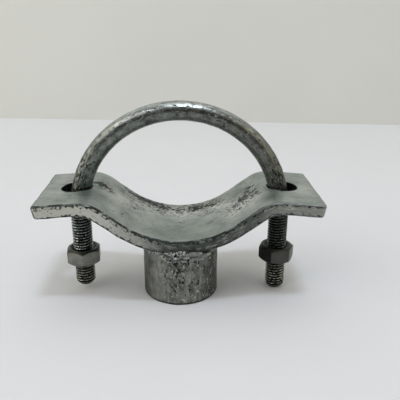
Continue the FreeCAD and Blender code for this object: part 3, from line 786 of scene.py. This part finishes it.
def tubeFinish(name, look):
    material, tree, place, where, facing = startFinish(name, look)
    tone, cloud = clouds(tree, place, look)
    left, right, fewest = look["smooth"]
    marked = addNode(tree, "MapRange", {"From Min": left * mm, "From Max": right * mm, "To Min": fewest},
                     {"Value": where["X"]}, **eased)
    # painted shade on the flanks, heavier on the right
    leftShade, rightShade = [
        addNode(tree, "MapRange", {"From Min": start, "From Max": full, "To Max": amount},
                {"Value": facing["X"]}, **eased)
        for start, full, amount in look["flankShades"]]
    flank = addNode(tree, "Math", links={0: leftShade, 1: rightShade}, operation="MAXIMUM")
    drip = addNode(tree, "Math", {1: look["dripAmount"]}, {0: flecks(tree, place, look["drips"])},
                   operation="MULTIPLY")
    crystal, scuff = [
        addNode(tree, "Math", links={0: mark, 1: marked}, operation="MULTIPLY")
        for mark in (flecks(tree, place, look["crystals"]),
                     flecks(tree, place, look["scuffs"], nearSpots(tree, place, look["scuffSpots"])))]
    # painted shade along the foot, drawn in the scuff colour
    start, full, amount = look["foot"]
    foot = addNode(tree, "MapRange", {"From Min": start * mm, "From Max": full * mm, "To Max": amount},
                   {"Value": where["Z"]}, **eased)
    for colour, mark in (("drip", drip), ("flank", flank), ("crystal", crystal), ("scuff", scuff),
                         ("scuff", foot)):
        tone = addNode(tree, "Mix", {over: linear(look[colour])}, {share: mark, under: tone},
                       data_type="RGBA")
    relief = addNode(tree, "Math", links={0: crystal, 1: scuff}, operation="SUBTRACT")
    relief = addNode(tree, "Math", links={0: relief, 1: cloud}, operation="ADD")
    dress(tree, look, tone, relief)
    return material


# Weld, hot-dip galvanised: frozen lumps, with painted highlights and glints on the crests and painted shade
# in the hollows
weldLook = {
    "shade": "#4f5451",
    "light": "#8b908c",
    "cloudSize": 2.5,
    "metallic": 0.85,
    "roughness": (0.4, 0.22),
    "reliefDepth": 0.2,
    "crest": "#cdd0c8",
    "crestHighlights": (0.505, 0.55, 0.65),  # painted highlight between these curvatures, how much
    "hollow": "#171a19",
    # painted shade in the hollows: between these curvatures, how much
    "hollowShades": (0.495, 0.45, 0.95),
    "glints": {"size": 1.4, "stretch": (0.6, 1.0, 1.0), "bend": 0.8, "from": 0.58, "soft": 0.05},
    "glintSpots": [((-7, -22, 29.5), 9, 1.3), ((0, -22.5, 29.5), 7, 1.2), ((-13, -19, 30.5), 6, 0.6)],
    "dashes": {"size": 1.5, "stretch": (0.45, 1.0, 1.0), "bend": 0.4, "from": 0.40, "soft": 0.08},
    "toe": (26.2, 25.2),  # dark dashes below this height
    "grain": {"size": 0.9, "stretch": (1.0, 1.0, 1.0), "bend": 0.5, "from": 0.35, "soft": 0.3},
}


def weldFinish(name, look):
    material, tree, place, where, _ = startFinish(name, look)
    tone = clouds(tree, place, look)[0]
    curve = addNode(tree, "NewGeometry")["Pointiness"]
    # painted highlights on convex crests and painted shade in concave hollows, by curvature
    for colour, reach in (("crest", "crestHighlights"), ("hollow", "hollowShades")):
        start, full, amount = look[reach]
        mark = addNode(tree, "MapRange", {"From Min": start, "From Max": full, "To Max": amount},
                       {"Value": curve}, **eased)
        tone = addNode(tree, "Mix", {over: linear(look[colour])}, {share: mark, under: tone},
                       data_type="RGBA")
    start, full = look["toe"]
    low = addNode(tree, "MapRange", {"From Min": start * mm, "From Max": full * mm},
                  {"Value": where["Z"]}, **eased)
    crinkled = nearSpots(tree, place, look["glintSpots"])
    for colour, pattern, within in (("crest", "glints", crinkled), ("hollow", "dashes", low)):
        mark = addNode(tree, "Math", links={0: flecks(tree, place, look[pattern]), 1: within},
                       operation="MULTIPLY", use_clamp=True)
        tone = addNode(tree, "Mix", {over: linear(look[colour])}, {share: mark, under: tone},
                       data_type="RGBA")
    dress(tree, look, tone, flecks(tree, place, look["grain"]))
    return material


# Rod, hot-dip galvanised: streaky pale and brown-grey zinc on the arch with a painted highlight on its
# crown, dull grey in the thread with painted light and shade
rodLook = {
    "shade": "#4a4e4b",
    "light": "#8a908b",
    "cloudSize": 5.0,
    "metallic": 0.95,
    "roughness": (0.32, 0.17),
    "reliefDepth": 0.12,
    "crystal": "#bcc3be",
    "crystals": {"size": 0.8, "stretch": (0.5, 1.0, 1.0), "bend": 0.3, "from": 0.54, "soft": 0.28},
    "scuff": "#1e211e",
    "scuffs": {"size": 0.75, "stretch": (0.35, 1.0, 1.0), "bend": 0.4, "from": 0.565, "soft": 0.08},
    "legMarks": (42.0, 49.0, 0.08),  # more dark streaks towards the legs
    "brown": "#4a463e",
    "crownHighlight": "#c8cecb",
    "crownHighlightReach": (52.0, 24.0),  # painted highlight on the crown, fading out from the middle,
    "crownHighlightLean": (0.3, 0.75, 1.25),  # and where it faces up
    "threadLightAndShade": [(0.0, "#b8c5bf"), (1.0, "#6f7974")],  # painted light and shade, lighter on the left leg than on the right
    "threadFade": 1.0,  # thread tone starts this far above and ends this far below its top
    "tipTone": "#a3a49b",
    "tipReach": (17.0, 15.0),  # below the nuts
    "grooveShade": "#0d100f",
    "grooveShadeReach": (4.95, 4.45),  # painted shade in the grooves, between these radii
}


def rodFinish(name, look):
    material, tree, _, where, facing = startFinish(name, look)
    outward = addNode(tree, "Math", links={0: where["X"]}, operation="ABSOLUTE")
    height = addNode(tree, "Math", {1: archZ * mm}, {0: where["Z"]}, operation="SUBTRACT")
    turn = addNode(tree, "Math", links={0: where["X"], 1: height}, operation="ARCTAN2")
    run = addNode(tree, "Math", {1: legX * mm}, {0: turn}, operation="MULTIPLY")
    spoke = addNode(tree, "CombineXYZ", links={"X": where["X"], "Z": height})
    reach = addNode(tree, "VectorMath", links={0: spoke}, operation="LENGTH")
    unrolled = addNode(tree, "CombineXYZ", links={  # along the rod, across it, out from the arch's centre
        "X": run, "Y": where["Y"], "Z": reach})

    # Plain rod: brown towards the right, a painted highlight on the crown where it faces up, crystals all
    # over
    tone, cloud = clouds(tree, unrolled, look)
    rightwards = addNode(tree, "MapRange", {"From Min": -legX * mm, "From Max": legX * mm},
                         {"Value": where["X"]})
    brown = addNode(tree, "Math", links={0: rightwards, 1: cloud}, operation="MULTIPLY")
    start, full, amount = look["crownHighlightLean"]
    upward = addNode(tree, "MapRange", {"From Min": start, "From Max": full, "To Max": amount},
                     {"Value": facing["Z"]}, **eased)
    fade, full = look["crownHighlightReach"]
    crown = addNode(tree, "MapRange", {"From Min": fade * mm, "From Max": full * mm}, {"Value": outward},
                    **eased)
    crownHighlight = addNode(tree, "Math", links={0: upward, 1: crown}, operation="MULTIPLY")
    crownHighlight = addNode(tree, "Math", links={0: crownHighlight, 1: cloud}, operation="MULTIPLY", use_clamp=True)
    crystal = flecks(tree, unrolled, look["crystals"])
    for colour, mark in (("brown", brown), ("crownHighlight", crownHighlight), ("crystal", crystal)):
        tone = addNode(tree, "Mix", {over: linear(look[colour])}, {share: mark, under: tone},
                       data_type="RGBA")

    # Thread: its own greys, painted lighter on the left leg and darker on the right, the ends below the
    # nuts, and painted shade in the grooves
    threadTone = addNode(tree, "ValToRGB", links={"Fac": rightwards}, stops=look["threadLightAndShade"])["Color"]
    legRadius = fromAxis(tree, where, legX)
    # paler ends below the nuts, and painted shade in the thread's grooves
    for colour, level, span in (("tipTone", where["Z"], "tipReach"), ("grooveShade", legRadius, "grooveShadeReach")):
        fade, full = look[span]
        mark = addNode(tree, "MapRange", {"From Min": fade * mm, "From Max": full * mm}, {"Value": level})
        threadTone = addNode(tree, "Mix", {over: linear(look[colour])}, {share: mark, under: threadTone},
                             data_type="RGBA")
    threadTop, fade = boltValues["threadTop"], look["threadFade"]
    threaded = addNode(tree, "MapRange", {
        "From Min": (threadTop + fade) * mm, "From Max": (threadTop - fade) * mm}, {"Value": where["Z"]})
    tone = addNode(tree, "Mix", links={share: threaded, under: tone, over: threadTone}, data_type="RGBA")

    start, full, amount = look["legMarks"]
    nearLegs = addNode(tree, "MapRange", {
        "From Min": start * mm, "From Max": full * mm, "To Max": amount}, {"Value": outward}, **eased)
    scuff = flecks(tree, unrolled, look["scuffs"], nearLegs)
    tone = addNode(tree, "Mix", {over: linear(look["scuff"])}, {share: scuff, under: tone},
                   data_type="RGBA")
    relief = addNode(tree, "Math", links={0: crystal, 1: scuff}, operation="SUBTRACT")
    relief = addNode(tree, "Math", links={0: relief, 1: cloud}, operation="ADD")
    dress(tree, look, tone, relief)
    return material


# Nuts, spun galvanised: smooth, dark zinc with painted shade on the edges and slopes, and painted shade
# darkening the right-hand one
nutLook = {
    "shade": "#63645e",
    "light": "#858680",
    "cloudSize": 6.0,
    "metallic": 0.85,
    "roughness": (0.45, 0.3),
    "reliefDepth": 0.12,
    "dull": "#3a3a35",
    "rightNutShadeReach": (-30.0, 30.0, 0.75),  # painted shade, from the left nut to the right one, how much
    # painted shade on the edges and the turned slopes, by how they face
    "edge": "#2a2c29",
    "edgeLean": (0.08, 0.3),  # lean to the ends of the edges,
    "slope": "#45463f",
    "slopeLean": (0.66, 0.79),  # of the turned slopes,
    "topLean": (0.9, 0.97),  # and of the end faces
    "nutShadow": "#1b1e1f",
    "shadowedFlat": (-0.35, -0.7),  # painted shadow between these leans to the left, on the right-hand nut
    "sinkReach": (7.1, 6.3),  # painted shade in the countersink round the thread, fading between these radii
    "grain": {"size": 1.8, "stretch": (1.0, 1.0, 1.0), "bend": 0.4, "from": 0.3, "soft": 0.4},
}


def nutFinish(name, look):
    material, tree, place, where, facing = startFinish(name, look)
    tone = clouds(tree, place, look)[0]
    # painted shade, darker on the right-hand nut
    left, right, amount = look["rightNutShadeReach"]
    dull = addNode(tree, "MapRange", {"From Min": left * mm, "From Max": right * mm, "To Max": amount},
                   {"Value": where["X"]})
    lean = addNode(tree, "Math", links={0: facing["Z"]}, operation="ABSOLUTE")
    bent, sloped, top = [
        addNode(tree, "MapRange", {"From Min": start, "From Max": full}, {"Value": lean})
        for start, full in (look["edgeLean"], look["slopeLean"], look["topLean"])]
    edge = addNode(tree, "Math", links={0: bent, 1: sloped}, operation="SUBTRACT")
    slope = addNode(tree, "Math", links={0: sloped, 1: top}, operation="SUBTRACT")
    # painted shadow on the right-hand nut's left-facing flats, and painted shade in the countersinks
    start, full = look["shadowedFlat"]
    flat = addNode(tree, "MapRange", {"From Min": start, "From Max": full}, {"Value": facing["X"]}, **eased)
    flat = addNode(tree, "Math", links={0: flat, 1: dull}, operation="MULTIPLY")
    fade, full = look["sinkReach"]
    sink = addNode(tree, "MapRange", {"From Min": fade * mm, "From Max": full * mm},
                   {"Value": fromAxis(tree, where, legX)}, **eased)
    nutShadow = addNode(tree, "Math", links={0: flat, 1: sink}, operation="MAXIMUM")
    for colour, mark in (("dull", dull), ("edge", edge), ("slope", slope), ("nutShadow", nutShadow)):
        tone = addNode(tree, "Mix", {over: linear(look[colour])}, {share: mark, under: tone},
                       data_type="RGBA")
    dress(tree, look, tone, flecks(tree, place, look["grain"]))
    return material


finishes = {
    "galvanised_bar": barFinish("hot_dip_galvanised_bar", barLook),
    "galvanised_tube": tubeFinish("hot_dip_galvanised_tube", tubeLook),
    "galvanised_weld": weldFinish("hot_dip_galvanised_weld", weldLook),
    "galvanised_rod": rodFinish("hot_dip_galvanised_rod", rodLook),
    "galvanised_nut": nutFinish("spun_galvanised_nut", nutLook),
}
pieces = [
    (makeStrap(strapValues), "support", "saddle_strap", "galvanised_bar"),
    (makeStub(stubValues), "support", "stub_tube", "galvanised_tube"),
    (makeWeld(weldValues), "support", "weld_bead", "galvanised_weld"),
    (makeBolt(boltValues), "u_bolt", "u_bolt", "galvanised_rod"),
    (makeNut(nutValues, "left_nut"), "left_nut", "left_nut", "galvanised_nut"),
    (makeNut(nutValues, "right_nut"), "right_nut", "right_nut", "galvanised_nut"),
]
for piece, body, node, slot in pieces:
    piece.data.materials.clear()
    piece.data.materials.append(finishes[slot])
    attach(piece, body)
    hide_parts(node)
    piece.data.calc_loop_triangles()
    print(piece.name, len(piece.data.loop_triangles), "triangles")


# Floor, wall, light and camera

stageValues = {
    "floor": ("#dedfe1", "#dcdddf"),
    "wall": ("#dcdcd7", "#d9d9d4"),
    "wallPlace": (0.0, 418.4),  # where the wall meets the floor
    "wallTurn": -4.68,
    "size": 6000.0,
}
boardLook = {"metallic": 0.0, "specular": 0.2, "cloudSize": 160.0, "roughness": (0.75, 0.65),
             "reliefDepth": 0.02}
lightValues = {  # sizes and distances in metres, power in watts
    "lamp": {"size": (0.36, 0.22), "toward": (0.08, -0.30, 1.0), "distance": 2.1,
             "power": 10.6, "tint": "#e4f0ff"},
    "high": {"size": (1.2, 1.2), "toward": (-0.45, -0.52, 0.74), "distance": 1.8,
             "power": 4.5, "tint": "#f6f8ff"},
    "ceiling": {"size": (3.2, 0.9), "toward": (0.05, 0.02, 1.0), "distance": 1.7,
                "power": 9.5, "tint": "#fbfcff"},
    "left": {"size": (1.7, 1.7), "toward": (-1.0, -0.25, 0.45), "distance": 1.6,
             "power": 12.8, "tint": "#fdf8ec"},
    "right": {"size": (1.7, 1.7), "toward": (1.0, -0.35, 0.45), "distance": 1.6,
              "power": 7.0, "tint": "#fdf5e2"},
}
roomValues = {"tint": "#fffaf2", "level": 0.15}
cameraValues = {
    "lens": 45.0,
    "sensor": 36.0,
    "place": (1.32, -234.29, 138.82),
    "pitch": 20.957,
    "yaw": 2.099,
    "roll": 0.457,
    "nearest": 10.0,  # nothing closer is drawn
}


def plainPaint(name, paler, darker):  # matt white paint on board: little gloss, faintly cloudy
    look = {**boardLook, "shade": darker, "light": paler}
    material, tree, place, _, _ = startFinish(name, look)
    tone, cloud = clouds(tree, place, look)
    tree.nodes["Principled BSDF"].inputs["Specular IOR Level"].default_value = look["specular"]
    dress(tree, look, tone, cloud)
    return material


def makeStage(values):
    size = values["size"] * mm
    bpy.ops.mesh.primitive_plane_add(size=size)
    floor = justAdded("floor")
    floor.data.materials.append(plainPaint("matt_paint_table", *values["floor"]))
    bpy.ops.mesh.primitive_plane_add(
        size=size, location=[part * mm for part in values["wallPlace"]] + [size / 2],
        rotation=(math.pi / 2, 0, math.radians(values["wallTurn"])))
    wall = justAdded("wall")
    wall.data.materials.append(plainPaint("matt_paint_wall", *values["wall"]))


def makeLights(lamps, room):
    for name, values in lamps.items():
        toward = Vector(values["toward"]).normalized()
        bpy.ops.object.light_add(type="AREA", location=toward * values["distance"])
        lamp = bpy.context.object
        lamp.name = name
        lamp.rotation_euler = toward.to_track_quat("Z", "Y").to_euler()
        lamp.data.shape = "ELLIPSE"
        lamp.data.size, lamp.data.size_y = values["size"]
        lamp.data.energy = values["power"]
        lamp.data.color = linear(values["tint"])[:3]
    world = bpy.data.worlds.new("room")
    bpy.context.scene.world = world
    world.use_nodes = True
    background = world.node_tree.nodes["Background"]
    background.inputs["Strength"].default_value = room["level"]
    background.inputs["Color"].default_value = linear(room["tint"])


def makeCamera(values):
    turn = (Matrix.Rotation(math.radians(-values["yaw"]), 3, "Z")
            @ Matrix.Rotation(math.radians(90 - values["pitch"]), 3, "X")
            @ Matrix.Rotation(math.radians(values["roll"]), 3, "Z"))
    bpy.ops.object.camera_add(location=Vector(values["place"]) * mm, rotation=turn.to_euler())
    camera = bpy.context.object
    camera.data.lens = values["lens"]
    camera.data.sensor_width = values["sensor"]
    camera.data.clip_start = values["nearest"] * mm
    bpy.context.scene.camera = camera


makeStage(stageValues)
makeLights(lightValues, roomValues)
makeCamera(cameraValues)
print("stage, lights and camera set")
